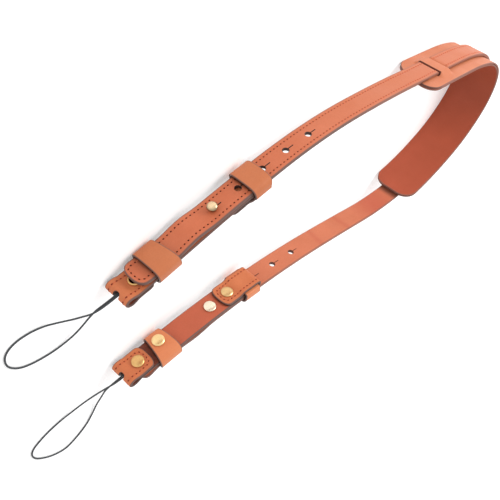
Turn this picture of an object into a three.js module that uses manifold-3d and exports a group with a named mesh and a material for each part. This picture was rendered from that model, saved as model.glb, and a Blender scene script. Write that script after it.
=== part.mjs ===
// Leather camera neck strap with a sliding shoulder pad, standing on its long edges as a hairpin.
// Millimetres, +Z up. The floor is z = 0 and the origin is the middle of the footprint.
// A place on the strap is given by station (along it, from one tab to the other), depth (from its
// outer face towards the inside of the hairpin) and rise (above its lower edge).
import * as THREE from 'three';
import { mergeVertices } from 'three/addons/utils/BufferGeometryUtils.js';
import Module from 'manifold-3d';

const wasm = await Module();
wasm.setup();

// Driving dimensions
const GAP = 0.3;
const STRAP = { width: 18, thick: 2.6, endSpread: 1.06, tipDepth: 7 };
const ROUND_END = { power: 2.6, sides: 12 }; // rounded ends of the strap and of the strips
const STAND_OFF = { tipFrom: 30, bowFrom: 40, bowTo: 75, bow: 1.8 }; // strap clear of the strip under it
const HOLE = { first: 78.3, pitch: 21.5, count: 5, radius: 2.1, slitLength: 4.5, slitWidth: 0.7 };
const PAD = { from: 277.5, to: 581.5, width: 39.2, thick: 1.4, lining: 1.2, corner: 13, slant: -0.2 };
const BRIDGE = { inset: 20.5, length: 17, slot: 3, clear: 1, slope: 5 };
const STRIP = { thick: 2, notchLow: 6.9, notchHigh: 11.1, notchReach: 2.7, tipDepth: 5 };
const KEEPER = { wall: 1.4, sides: 24, steps: 2 };
const RIVET = { cap: 4.5, capHeight: 1.6, shank: 1.25, hole: 1.6, sides: 14 };
const RING = { outer: 4.2, inner: 2.9, height: 1, floor: 0.3 }; // rivet's outer head
const STUD = { at: HOLE.first, head: 3.5, headHalf: 2.2, neck: 1.5, back: 4.5, backHeight: 1.3, hole: 1.9 };
const CORD = { diameter: 1.1, sides: 8, step: 3.3 };
const STEP = 7.5; // station step of the long bands
const START = { x: 199.8, y: -45, heading: 188 };

// Plan of the strap's outer face, from tab a to tab b: arc length, and turn in degrees (left is positive)
const PLAN = [
  { name: 'tab a', length: 24, turn: 4 },
  { name: 'tip a', length: 36, turn: 1 },
  { name: 'holes a', length: 60, turn: -4 },
  { name: 'leg a', length: 80, turn: -12.5 },
  { name: 'leg a at the pad', length: 80, turn: -5 },
  { name: 'pad a', length: 60, turn: -1.5 },
  { name: 'bend opens', length: 35, turn: -11.5 },
  { name: 'bend', length: 30, turn: -26.5 },
  { name: 'bend, tightest', length: 30, turn: -39 },
  { name: 'bend, turning back', length: 30, turn: -36.5 },
  { name: 'bend closes', length: 45, turn: -31.5 },
  { name: 'pad b', length: 45, turn: -15 },
  { name: 'pad b, end', length: 30, turn: -10.5 },
  { name: 'leg b at the pad', length: 50, turn: -12 },
  { name: 'leg b', length: 60, turn: 2 },
  { name: 'leg b, hollow', length: 70, turn: 6.5 },
  { name: 'holes b', length: 70, turn: 7 },
  { name: 'tip b', length: 25, turn: 2.5 },
  { name: 'tab b', length: 24, turn: 2.5 },
];
const LENGTH = PLAN.reduce((sum, row) => sum + row.length, 0);

// The two ends: station of the tab's crest, stations per millimetre from the crest, low edge at the tab,
// strap's tip and its lift, front and rear edge of the tip keeper with their slants along the strap per
// millimetre of rise, the keeper's rivet, and end of the strip's rear flap
const ENDS = [
  {
    tag: 'a',
    start: -0.7,
    run: 0.965,
    low: 2.5,
    tip: 12.2,
    tipLift: 1.4,
    tipKeeper: { from: 23.5, to: 39.6, frontSlant: 0.02, rearSlant: 0.16 },
    keeperRivet: 29.3,
    flapEnd: 84.3,
  },
  {
    tag: 'b',
    start: LENGTH,
    run: -1,
    low: 3,
    tip: 10.5,
    tipLift: 5,
    tipKeeper: { from: 26.2, to: 41.2, frontSlant: -0.17, rearSlant: 0.12 },
    keeperRivet: 33,
    flapEnd: 86,
  },
];

// Middle of the strip under each strap end: distance from the tab's crest, and depth; the rear flap runs on
// to its end at the same depth
const STRIP_ROUTE = [
  { part: 'tab flap', at: 23, depth: 7 },
  { part: 'tab flap', at: 16, depth: 7 },
  { part: 'tab flap', at: 9.5, depth: 7 },
  { part: 'tab fold', at: 6.4, depth: 7.9 },
  { part: 'tab fold', at: 3.6, depth: 8.2 },
  { part: 'tab crest', at: 1.2, depth: 6.8 },
  { part: 'tab crest', at: 1, depth: 5 },
  { part: 'tab fold', at: 3, depth: 3.5 },
  { part: 'tab fold', at: 6.2, depth: 3.7 },
  { part: 'tab', at: 9.5, depth: 4.7 },
  { part: 'under the rivet head', at: 15, depth: 4.7 },
  { part: 'under the rivet head', at: 20, depth: 4.6 },
  { part: 'body', at: 30, depth: 4 },
  { part: 'body', at: 44, depth: 3.9 },
  { part: 'body', at: 70, depth: 3.9 },
  { part: 'body', at: 100, depth: 3.9 },
  { part: 'body', at: 117.5, depth: 3.9 },
  { part: 'rear fold', at: 118.9, depth: 4.5 },
  { part: 'rear fold', at: 119.5, depth: 5.9 },
  { part: 'rear fold', at: 118.9, depth: 7.3 },
  { part: 'rear fold', at: 117.5, depth: 7.9 },
  { part: 'rear flap', at: 110, depth: 7.9 },
  { part: 'rear flap', at: 103.2, depth: 7.9 },
  { part: 'rear flap', at: 99.4, depth: 6.3 },
  { part: 'rear flap', at: 94, depth: 6.2 },
];

// Keepers: front and rear edge, half width, depth of the widest place, and from there the reach and the
// squareness of the outer side and of the side of the wearer; the outer side bulges over both edges
const KEEPERS = [
  {
    name: 'tip_keeper',
    edges: (e) => e.tipKeeper,
    bulge: { front: 0, rear: 0 },
    halfWidth: 10.3,
    centre: 2.45,
    outer: { reach: 5.6, power: 3.2 },
    inner: { reach: 8.15, power: 2.5 },
  },
  {
    name: 'rear_keeper',
    edges: () => ({ from: 103.5, to: 117.5, frontSlant: 0, rearSlant: 0 }),
    bulge: { front: 0.8, rear: 1.5 },
    halfWidth: 10.5,
    centre: 3.8,
    outer: { reach: 6.8, power: 3.8 },
    inner: { reach: 2.1, power: 8 },
  },
];

// Rivets: distance from the tab's crest, rise, depth of the leather under the cap, depth of the far end,
// and what they go through; the tab's rivet also has a ring head on the outer side
const RIVETS = [
  { name: 'tab_rivet', at: () => 14.6, rise: 9, under: 8, end: 3.4, holds: 'strip', ring: true },
  { name: 'keeper_rivet', at: (e) => e.keeperRivet, rise: 8.2, under: 11.3, end: 9.6, holds: 'keeper' },
  { name: 'flap_rivet', at: () => 94.8, rise: 9, under: 7.2, end: 3.2, holds: 'strip' },
];

// Free cord loops, from inside the tab out along the floor and back: x, y, z
const CORD_ROUTES = {
  a: [
    [195.7, -40.1, 11.8], [200.2, -39.4, 11.8], [206, -37.8, 11.2], [211.5, -35.6, 9.7], [215.5, -34.6, 8.2],
    [219.5, -34.8, 6.6], [224.5, -35.7, 5], [229.5, -37.1, 3.4], [234.5, -38.7, 2.1], [239.5, -40.5, 1.2],
    [245.5, -42.1, 0.8], [250.5, -42.8, 0.7], [255.5, -42.7, 0.7], [260.5, -40.9, 0.7], [263.5, -37.9, 0.7],
    [265, -33.3, 0.7], [264.5, -27.3, 0.7], [261.5, -22.1, 0.7], [257.5, -18.5, 0.7], [251.5, -15.8, 0.7],
    [244.5, -14.1, 0.7], [237.5, -13.5, 0.8], [230.5, -14.7, 1.3], [225.5, -17.5, 2.4], [220.5, -23.3, 4.5],
    [216, -29.8, 6.6], [211.5, -34.8, 8.4], [206, -37.8, 10], [200.2, -39.4, 10.6], [195.7, -40.1, 10.6],
  ],
  b: [
    [201, 44.4, 12.6], [205.7, 45, 12.6], [210.5, 46.1, 11.8], [216.5, 47.4, 10.1], [222, 50.2, 7.8],
    [228, 54, 5.2], [233.5, 57.4, 3.2], [239.5, 60.1, 1.8], [246.5, 61.9, 0.9], [253.5, 63.2, 0.7],
    [259.5, 64.7, 0.7], [265.5, 67.2, 0.7], [270.5, 70.6, 0.7], [272.9, 75.6, 0.7], [272.1, 82.6, 0.7],
    [268, 89.6, 0.7], [260.5, 97, 0.7], [251.5, 100.9, 0.7], [241.5, 97.9, 0.7], [232, 91.1, 0.8],
    [226, 83.1, 1], [222, 73.6, 2.3], [219, 63.1, 5.2], [216, 53.1, 8.1], [211.5, 47.6, 10.4],
    [205.7, 45, 11.4], [201, 44.4, 11.4],
  ],
};

const COLOURS = {
  strap: 0xc96a42,
  keeper: 0xd98552,
  pad: 0xc4643f,
  lining: 0x9a4a33,
  gold: 0xd9b56c,
  cord: 0x3c3c3c,
};

// Depths that a punch covers, so that it passes through the piece it cuts
const THROUGH_STRAP = [-9, 6];
const THROUGH_PAD = [-6, 14];
const THROUGH_STRIP = [1.4, 13];

const middleRise = STRAP.width / 2;
const padLow = middleRise - PAD.width / 2;
const padHigh = middleRise + PAD.width / 2;
const padMid = STRAP.thick + GAP + PAD.thick / 2;
const liningMid = padMid + PAD.thick / 2 + GAP + PAD.lining / 2;
const bridgeLift = STRAP.thick + GAP;
const strapDip = PAD.thick + GAP;

function stationOf(end, at) {
  return end.start + end.run * at;
}

// Point and heading of the plan at a station; past the tabs it runs on along their arcs
function planAt(station) {
  let { x, y } = START;
  let heading = THREE.MathUtils.degToRad(START.heading);
  let left = station;
  PLAN.forEach((row, i) => {
    const last = i === PLAN.length - 1;
    const run = last ? left : Math.min(left, row.length);
    const turn = (THREE.MathUtils.degToRad(row.turn) * run) / row.length;
    const chord = Math.abs(turn) < 1e-9 ? run : (2 * run * Math.sin(turn / 2)) / turn;
    x += chord * Math.cos(heading + turn / 2);
    y += chord * Math.sin(heading + turn / 2);
    heading += turn;
    left -= run;
  });
  return { x, y, heading };
}

function inward(station) {
  const { heading } = planAt(station);
  return new THREE.Vector3(Math.sin(heading), -Math.cos(heading), 0);
}

// From each tab to the pad, which stands on the floor, the strap slopes up and narrows a little
function place(station, depth, rise) {
  const { x, y } = planAt(station);
  const end = station < LENGTH / 2 ? ENDS[0] : ENDS[1];
  const toPad = Math.min(station / PAD.from, (LENGTH - station) / (LENGTH - PAD.to), 1);
  const low = THREE.MathUtils.lerp(end.low, -padLow, toPad);
  const spread = THREE.MathUtils.lerp(STRAP.endSpread, 1, toPad);
  const z = low + middleRise + (rise - middleRise) * spread;
  return new THREE.Vector3(x, y, z).addScaledVector(inward(station), depth);
}

// Closed body from points and triangles, with its faces pointing out
function body(points, triangles) {
  const volume = triangles.reduce((sum, [a, b, c]) => {
    return sum + points[a].dot(points[b].clone().cross(points[c]));
  }, 0);
  const index = triangles.flatMap(([a, b, c]) => (volume < 0 ? [a, c, b] : [a, b, c]));
  const geometry = new THREE.BufferGeometry().setFromPoints(points);
  geometry.setIndex(index);
  return geometry;
}

function quad(list, a, b, c, d) {
  list.push([a, b, c], [a, c, d]);
}

// Leather wall: a middle line of {station, depth} swept over the rises, with an optional extra depth
function wall(line, rises, thick, extraDepth = () => 0) {
  const points = [];
  const triangles = [];
  const rows = line.length;
  const columns = rises.length;
  const id = (side, i, j) => (side * rows + i) * columns + j;
  for (const side of [-1, 1]) {
    line.forEach((here, i) => {
      const before = line[Math.max(i - 1, 0)];
      const after = line[Math.min(i + 1, rows - 1)];
      const run = after.station - before.station;
      const fall = after.depth - before.depth;
      const half = (side * thick) / 2 / Math.hypot(run, fall);
      for (const rise of rises) {
        const depth = here.depth + run * half + extraDepth(here.station, rise);
        points.push(place(here.station - fall * half, depth, rise));
      }
    });
  }
  for (let i = 0; i < rows - 1; i++) {
    for (let j = 0; j < columns - 1; j++) {
      quad(triangles, id(0, i, j), id(0, i + 1, j), id(0, i + 1, j + 1), id(0, i, j + 1));
      quad(triangles, id(1, i, j), id(1, i, j + 1), id(1, i + 1, j + 1), id(1, i + 1, j));
    }
    quad(triangles, id(0, i, 0), id(1, i, 0), id(1, i + 1, 0), id(0, i + 1, 0));
    const top = columns - 1;
    quad(triangles, id(0, i, top), id(0, i + 1, top), id(1, i + 1, top), id(1, i, top));
  }
  for (let j = 0; j < columns - 1; j++) {
    const end = rows - 1;
    quad(triangles, id(0, 0, j), id(0, 0, j + 1), id(1, 0, j + 1), id(1, 0, j));
    quad(triangles, id(0, end, j), id(1, end, j), id(1, end, j + 1), id(0, end, j + 1));
  }
  return body(points, triangles);
}

// Punch through the leather: an outline of {station, rise} between two depths
function punch(outline, from, to) {
  const count = outline.length;
  const points = [from, to].flatMap((depth) => outline.map((p) => place(p.station, depth, p.rise)));
  const flat = outline.map((p) => new THREE.Vector2(p.station, p.rise));
  const triangles = [];
  for (const [a, b, c] of THREE.ShapeUtils.triangulateShape(flat, [])) {
    triangles.push([a, b, c], [a + count, c + count, b + count]);
  }
  const turned = THREE.ShapeUtils.isClockWise(flat);
  for (let i = 0; i < count; i++) {
    const next = (i + 1) % count;
    if (turned) quad(triangles, i, next, next + count, i + count);
    else quad(triangles, next, i, i + count, next + count);
  }
  return body(points, triangles);
}

function solid(geometry) {
  const merged = mergeVertices(geometry, 1e-4);
  return new wasm.Manifold(
    new wasm.Mesh({
      numProp: 3,
      vertProperties: new Float32Array(merged.attributes.position.array),
      triVerts: new Uint32Array(merged.index.array),
    }),
  );
}

function cut(geometry, punches) {
  const left = punches.reduce((whole, tool) => whole.subtract(solid(tool)), solid(geometry));
  const mesh = left.getMesh();
  const result = new THREE.BufferGeometry();
  result.setAttribute('position', new THREE.BufferAttribute(new Float32Array(mesh.vertProperties), 3));
  result.setIndex(new THREE.BufferAttribute(new Uint32Array(mesh.triVerts), 1));
  return result;
}

function roundOutline(station, rise, radius, sides = 10) {
  return Array.from({ length: sides }, (_, i) => {
    const angle = (2 * Math.PI * (i + 0.5)) / sides;
    return { station: station + radius * Math.cos(angle), rise: rise + radius * Math.sin(angle) };
  });
}

function boxOutline(fromStation, toStation, fromRise, toRise) {
  return [
    { station: fromStation, rise: fromRise },
    { station: toStation, rise: fromRise },
    { station: toStation, rise: toRise },
    { station: fromStation, rise: toRise },
  ];
}

// What is cut away around a rounded leather end that points along the sign
function tipOutline(end, sign, depth) {
  const overshoot = 3;
  const { power, sides } = ROUND_END;
  const back = end - sign * depth;
  const beyond = end + sign * overshoot;
  const curve = Array.from({ length: sides + 1 }, (_, i) => {
    const across = -Math.cos((Math.PI * i) / sides);
    const shy = 1 - (1 - Math.abs(across) ** power) ** (1 / power);
    return { station: end - sign * depth * shy, rise: middleRise * (1 + across) };
  });
  return [
    { station: beyond, rise: -overshoot },
    { station: back, rise: -overshoot },
    ...curve,
    { station: back, rise: STRAP.width + overshoot },
    { station: beyond, rise: STRAP.width + overshoot },
  ];
}

// What is cut away around one end of the pad, with its two rounded corners
function padEndOutline(end, sign, slant, sides = 7) {
  const overshoot = 8;
  const back = end - sign * PAD.corner;
  const arc = Array.from({ length: sides + 1 }, (_, i) => (Math.PI / 2) * (i / sides));
  const lowCorner = arc.map((angle) => ({
    station: back + sign * PAD.corner * Math.sin(angle),
    rise: padLow + PAD.corner * (1 - Math.cos(angle)),
  }));
  const highCorner = lowCorner.map((p) => ({ ...p, rise: padLow + padHigh - p.rise })).reverse();
  const outline = [
    { station: end + sign * overshoot, rise: padLow - overshoot },
    { station: back, rise: padLow - overshoot },
    ...lowCorner,
    ...highCorner,
    { station: back, rise: padHigh + overshoot },
    { station: end + sign * overshoot, rise: padHigh + overshoot },
  ];
  return outline.map((p) => ({ station: p.station + slant * (p.rise - middleRise), rise: p.rise }));
}

function stations(from, to, extra = []) {
  const list = [from, to, ...extra];
  for (let s = Math.ceil((from + 1) / STEP) * STEP; s < to - 1; s += STEP) {
    if (extra.every((e) => Math.abs(e - s) > 1)) list.push(s);
  }
  return list.sort((a, b) => a - b);
}

// The two bridges: each lies between two slots of the pad's outer layer
const BRIDGES = [
  { from: PAD.from + BRIDGE.inset, to: PAD.from + BRIDGE.inset + BRIDGE.length },
  { from: PAD.to - BRIDGE.inset - BRIDGE.length, to: PAD.to - BRIDGE.inset },
];
const SLOT_LINES = BRIDGES.flatMap((b) => [b.from, b.from + BRIDGE.slot, b.to - BRIDGE.slot, b.to]);

// 0 outside the bridges, 1 under them, and a ramp across each slot
function underBridge(station, margin = 0) {
  const shares = BRIDGES.map((b) => {
    const inside = Math.min(station - b.from, b.to - station) - margin;
    return THREE.MathUtils.clamp(inside / (BRIDGE.slot - 2 * margin), 0, 1);
  });
  return Math.max(...shares);
}

// How far the strap stands off outwards: its tip lifts, and it bows between the tip keeper and the stud
function standOff(station) {
  return ENDS.reduce((sum, end) => {
    const at = (station - end.start) / end.run;
    const tip = Math.max(0, (STAND_OFF.tipFrom - at) / (STAND_OFF.tipFrom - end.tip));
    const share = (at - STAND_OFF.bowFrom) / (STAND_OFF.bowTo - STAND_OFF.bowFrom);
    const bow = Math.sin(Math.PI * THREE.MathUtils.clamp(share, 0, 1)) ** 2;
    return sum + end.tipLift * tip ** 2 + STAND_OFF.bow * bow;
  }, 0);
}

function buildMainStrap() {
  const extra = BRIDGES.flatMap((b) => {
    const ramp = [GAP, BRIDGE.slot - GAP];
    return [...ramp.map((r) => b.from + r), ...ramp.map((r) => b.to - r)];
  });
  const [from, to] = ENDS.map((end) => stationOf(end, end.tip));
  const line = stations(from, to, extra).map((station) => ({
    station,
    depth: STRAP.thick / 2 + strapDip * underBridge(station, GAP) - standOff(station),
  }));
  const band = wall(line, [0, STRAP.width], STRAP.thick);
  const tools = [];
  for (const end of ENDS) {
    const tip = tipOutline(stationOf(end, end.tip), -Math.sign(end.run), STRAP.tipDepth);
    tools.push(punch(tip, ...THROUGH_STRAP));
    for (let i = 0; i < HOLE.count; i++) {
      const at = HOLE.first + i * HOLE.pitch;
      const hole = stationOf(end, at);
      const slitEnd = stationOf(end, at + HOLE.radius + HOLE.slitLength);
      const slit = [middleRise - HOLE.slitWidth / 2, middleRise + HOLE.slitWidth / 2];
      tools.push(punch(roundOutline(hole, middleRise, HOLE.radius), ...THROUGH_STRAP));
      tools.push(punch(boxOutline(hole, slitEnd, ...slit), ...THROUGH_STRAP));
    }
  }
  return cut(band, tools);
}

// The pad's end at leg a is cut aslant, so the leather starts a little before it
const padStart = PAD.from + PAD.slant * (padHigh - middleRise);

function padEnds() {
  return [
    punch(padEndOutline(PAD.from, -1, PAD.slant), ...THROUGH_PAD),
    punch(padEndOutline(PAD.to, 1, 0), ...THROUGH_PAD),
  ];
}

function buildPadOuter() {
  const flatLow = -BRIDGE.clear / 2;
  const flatHigh = STRAP.width + BRIDGE.clear / 2;
  const arch = (rise) => {
    const outside = Math.max(flatLow - rise, rise - flatHigh, 0);
    return 1 - THREE.MathUtils.smoothstep(outside, 0, BRIDGE.slope);
  };
  const line = stations(padStart, PAD.to, SLOT_LINES).map((station) => ({ station, depth: padMid }));
  const side = [BRIDGE.slope, BRIDGE.slope / 2, 0];
  const rises = [padLow, ...side.map((s) => flatLow - s)];
  rises.push(...side.reverse().map((s) => flatHigh + s), padHigh);
  const lift = (station, rise) => -bridgeLift * underBridge(station) * arch(rise);
  const slotRise = [-BRIDGE.clear, STRAP.width + BRIDGE.clear];
  const slotStarts = BRIDGES.flatMap((b) => [b.from, b.to - BRIDGE.slot]);
  const slots = slotStarts.map((s) => punch(boxOutline(s, s + BRIDGE.slot, ...slotRise), ...THROUGH_PAD));
  return cut(wall(line, rises, PAD.thick, lift), [...padEnds(), ...slots]);
}

function buildPadLining() {
  const line = stations(padStart, PAD.to).map((station) => ({ station, depth: liningMid }));
  return cut(wall(line, [padLow, padHigh], PAD.lining), padEnds());
}

function buildEndStrip(end) {
  const stepsPerRow = 2;
  const route = [...STRIP_ROUTE, { ...STRIP_ROUTE.at(-1), at: end.flapEnd }];
  const rows = route.map((row) => new THREE.Vector3(row.at, row.depth, 0));
  const curve = new THREE.CatmullRomCurve3(rows, false, 'centripetal');
  const line = curve.getPoints(stepsPerRow * (rows.length - 1)).map((p) => ({
    station: stationOf(end, p.x),
    depth: p.y,
  }));
  const sign = Math.sign(end.run);
  const flapOverlap = 2;
  const flapCut = (row, direction) => {
    const outline = tipOutline(stationOf(end, row.at), direction, STRIP.tipDepth);
    const outerFace = row.depth - STRIP.thick / 2;
    return punch(outline, outerFace - GAP / 2, outerFace + STRIP.thick + flapOverlap);
  };
  const holes = RIVETS.filter((r) => r.holds === 'strip').map((r) => {
    return roundOutline(stationOf(end, r.at(end)), r.rise, RIVET.hole);
  });
  const studHole = roundOutline(stationOf(end, STUD.at), middleRise, STUD.hole);
  const beforeCrest = -1;
  const notch = boxOutline(
    stationOf(end, beforeCrest),
    stationOf(end, STRIP.notchReach),
    STRIP.notchLow,
    STRIP.notchHigh,
  );
  return cut(wall(line, [0, STRAP.width], STRIP.thick), [
    flapCut(route.at(0), sign),
    flapCut(route.at(-1), -sign),
    ...[...holes, studHole, notch].map((outline) => punch(outline, ...THROUGH_STRIP)),
  ]);
}

// Closed band round the strap: a rounded box section, domed on the outer side
function buildKeeper(end, keeper) {
  const { sides, steps } = KEEPER;
  const { from, to, frontSlant, rearSlant } = keeper.edges(end);
  const signedPower = (value, power) => Math.sign(value) * Math.abs(value) ** (2 / power);
  const middle = Array.from({ length: sides }, (_, i) => {
    const angle = (2 * Math.PI * (i + 0.5)) / sides;
    const { reach, power } = Math.sin(angle) > 0 ? keeper.inner : keeper.outer;
    return {
      rise: middleRise + keeper.halfWidth * signedPower(Math.cos(angle), power),
      depth: keeper.centre + reach * signedPower(Math.sin(angle), power),
    };
  });
  const points = [];
  const id = (k, side, i) => (k * 2 + side) * sides + (i % sides);
  for (let k = 0; k <= steps; k++) {
    const at = THREE.MathUtils.lerp(from, to, k / steps);
    const slant = THREE.MathUtils.lerp(frontSlant, rearSlant, k / steps);
    const bulge = THREE.MathUtils.lerp(-keeper.bulge.front, keeper.bulge.rear, k / steps);
    for (const side of [-1, 1]) {
      middle.forEach((p, i) => {
        const before = middle[(i + sides - 1) % sides];
        const after = middle[(i + 1) % sides];
        const run = new THREE.Vector2(after.rise - before.rise, after.depth - before.depth).normalize();
        const half = (side * KEEPER.wall) / 2;
        const rise = p.rise + run.y * half;
        const depth = p.depth - run.x * half;
        const outward = Math.max(0, (keeper.centre - depth) / keeper.outer.reach);
        const moved = at + slant * (rise - middleRise) + bulge * outward;
        points.push(place(stationOf(end, moved), depth, rise));
      });
    }
  }
  const triangles = [];
  for (let i = 0; i < sides; i++) {
    for (let k = 0; k < steps; k++) {
      quad(triangles, id(k, 0, i), id(k, 0, i + 1), id(k + 1, 0, i + 1), id(k + 1, 0, i));
      quad(triangles, id(k, 1, i), id(k + 1, 1, i), id(k + 1, 1, i + 1), id(k, 1, i + 1));
    }
    quad(triangles, id(0, 0, i), id(0, 1, i), id(0, 1, i + 1), id(0, 0, i + 1));
    quad(triangles, id(steps, 0, i), id(steps, 0, i + 1), id(steps, 1, i + 1), id(steps, 1, i));
  }
  const band = body(points, triangles);
  if (keeper.name !== 'tip_keeper') return band;
  const rivet = RIVETS.find((r) => r.holds === 'keeper');
  const hole = roundOutline(stationOf(end, rivet.at(end)), rivet.rise, RIVET.hole);
  return cut(band, [punch(hole, rivet.end - KEEPER.wall, rivet.under + KEEPER.wall)]);
}

// Turned piece: a profile of [radius, depth] about an axis that points into the hairpin
function turned(profile) {
  const outline = profile.map(([radius, depth]) => new THREE.Vector2(radius, depth));
  const geometry = new THREE.LatheGeometry(outline, RIVET.sides);
  geometry.deleteAttribute('normal');
  geometry.deleteAttribute('uv');
  const merged = mergeVertices(geometry, 1e-4);
  const position = merged.attributes.position;
  const points = [];
  for (let i = 0; i < position.count; i++) {
    points.push(new THREE.Vector3().fromBufferAttribute(position, i));
  }
  const triangles = [];
  for (let i = 0; i < merged.index.count; i += 3) {
    const [a, b, c] = [0, 1, 2].map((k) => merged.index.getX(i + k));
    if (a !== b && b !== c && c !== a) triangles.push([a, b, c]);
  }
  return body(points, triangles);
}

// Domed cap on the side of the wearer, and a sunk ring on the outer side where the rivet has one
function buildRivet(rivet) {
  const under = rivet.under + GAP;
  const top = under + RIVET.capHeight;
  const outerHead = [
    [0, rivet.end - RING.floor],
    [RING.inner, rivet.end - RING.floor],
    [RING.inner, rivet.end - RING.height],
    [RING.outer, rivet.end - RING.height],
    [RING.outer, rivet.end],
  ];
  return turned([
    ...(rivet.ring ? outerHead : [[0, rivet.end]]),
    [RIVET.shank, rivet.end],
    [RIVET.shank, under],
    [RIVET.cap, under],
    [RIVET.cap, under + 0.4 * RIVET.capHeight],
    [0.8 * RIVET.cap, under + 0.85 * RIVET.capHeight],
    [0.4 * RIVET.cap, top],
    [0, top],
  ]);
}

// Button stud: a flattened ball outside the strap, and a flat back on the strip
function buildStud() {
  const under = STRAP.thick + STRIP.thick + 2 * GAP;
  const centre = -STUD.headHalf - GAP;
  const neckAngle = Math.asin(STUD.neck / STUD.head);
  const arcSteps = 6;
  const head = Array.from({ length: arcSteps + 1 }, (_, i) => {
    const angle = ((Math.PI - neckAngle) * i) / arcSteps;
    return [i === 0 ? 0 : STUD.head * Math.sin(angle), centre - STUD.headHalf * Math.cos(angle)];
  });
  return turned([
    ...head,
    [STUD.neck, under],
    [STUD.back, under],
    [STUD.back, under + STUD.backHeight / 2],
    [0.8 * STUD.back, under + STUD.backHeight],
    [0, under + STUD.backHeight],
  ]);
}

function buildCord(route) {
  const curve = new THREE.CatmullRomCurve3(route.map((p) => new THREE.Vector3(...p)), false, 'centripetal');
  const section = new THREE.Shape();
  for (let i = 0; i < CORD.sides; i++) {
    const angle = (2 * Math.PI * i) / CORD.sides;
    const point = [(CORD.diameter / 2) * Math.cos(angle), (CORD.diameter / 2) * Math.sin(angle)];
    if (i === 0) section.moveTo(...point);
    else section.lineTo(...point);
  }
  const geometry = new THREE.ExtrudeGeometry(section, {
    steps: Math.round(curve.getLength() / CORD.step),
    extrudePath: curve,
    bevelEnabled: false,
  });
  geometry.deleteAttribute('normal');
  geometry.deleteAttribute('uv');
  return mergeVertices(geometry, 1e-4);
}

function leather(color) {
  return new THREE.MeshStandardMaterial({ color, roughness: 0.55, metalness: 0 });
}

function metal(color) {
  return new THREE.MeshStandardMaterial({ color, roughness: 0.3, metalness: 1 });
}

const strap = new THREE.Group();

function add(name, geometry, material) {
  const mesh = new THREE.Mesh(geometry, material);
  mesh.name = name;
  strap.add(mesh);
  return mesh;
}

// Sets a turned piece on the strap, with its axis along the depth
function addTurned(name, geometry, station, rise) {
  const mesh = add(name, geometry, metal(COLOURS.gold));
  mesh.position.copy(place(station, 0, rise));
  mesh.quaternion.setFromUnitVectors(new THREE.Vector3(0, 1, 0), inward(station));
}

add('main_strap', buildMainStrap(), leather(COLOURS.strap));
add('pad_outer', buildPadOuter(), leather(COLOURS.pad));
add('pad_lining', buildPadLining(), leather(COLOURS.lining));
for (const end of ENDS) {
  add(`end_strip_${end.tag}`, buildEndStrip(end), leather(COLOURS.strap));
  for (const keeper of KEEPERS) {
    add(`${keeper.name}_${end.tag}`, buildKeeper(end, keeper), leather(COLOURS.keeper));
  }
  for (const rivet of RIVETS) {
    addTurned(`${rivet.name}_${end.tag}`, buildRivet(rivet), stationOf(end, rivet.at(end)), rivet.rise);
  }
  addTurned(`stud_${end.tag}`, buildStud(), stationOf(end, STUD.at), middleRise);
  add(`cord_${end.tag}`, buildCord(CORD_ROUTES[end.tag]), leather(COLOURS.cord));
}

export default strap;
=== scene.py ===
"""Looks of a leather camera neck strap: a stitched strap, a shoulder pad and a cord tab at each end.

Sizes are millimetres, and place() turns them into the frame's metres. A place on the strap is given by
station (along it, from tab a to tab b), depth (from its outer face into the hairpin) and rise (above its
lower edge).
"""

import math
from functools import lru_cache
from typing import NamedTuple

import bmesh
import bpy
import numpy as np
from mathutils import Matrix, Vector
from mathutils.geometry import delaunay_2d_cdt


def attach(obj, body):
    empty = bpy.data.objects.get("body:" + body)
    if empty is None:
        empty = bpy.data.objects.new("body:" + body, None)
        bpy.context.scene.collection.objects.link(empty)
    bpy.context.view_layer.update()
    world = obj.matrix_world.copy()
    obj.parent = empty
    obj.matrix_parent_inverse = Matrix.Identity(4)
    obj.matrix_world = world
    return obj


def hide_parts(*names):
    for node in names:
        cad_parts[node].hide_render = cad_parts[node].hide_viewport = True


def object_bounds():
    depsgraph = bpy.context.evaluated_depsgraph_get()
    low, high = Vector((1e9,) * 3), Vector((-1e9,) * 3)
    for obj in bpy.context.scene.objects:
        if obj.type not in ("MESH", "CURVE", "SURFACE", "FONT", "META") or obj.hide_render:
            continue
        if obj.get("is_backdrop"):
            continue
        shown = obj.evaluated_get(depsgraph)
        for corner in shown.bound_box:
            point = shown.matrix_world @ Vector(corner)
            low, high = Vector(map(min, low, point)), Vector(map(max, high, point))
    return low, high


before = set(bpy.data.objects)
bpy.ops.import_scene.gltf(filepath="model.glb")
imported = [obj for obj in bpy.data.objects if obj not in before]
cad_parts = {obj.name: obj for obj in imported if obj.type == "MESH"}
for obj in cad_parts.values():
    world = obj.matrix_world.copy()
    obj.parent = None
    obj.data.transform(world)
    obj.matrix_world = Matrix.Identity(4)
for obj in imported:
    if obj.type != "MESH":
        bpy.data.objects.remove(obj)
CAD_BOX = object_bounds()

MM = 0.001
GAP = 0.3

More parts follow.
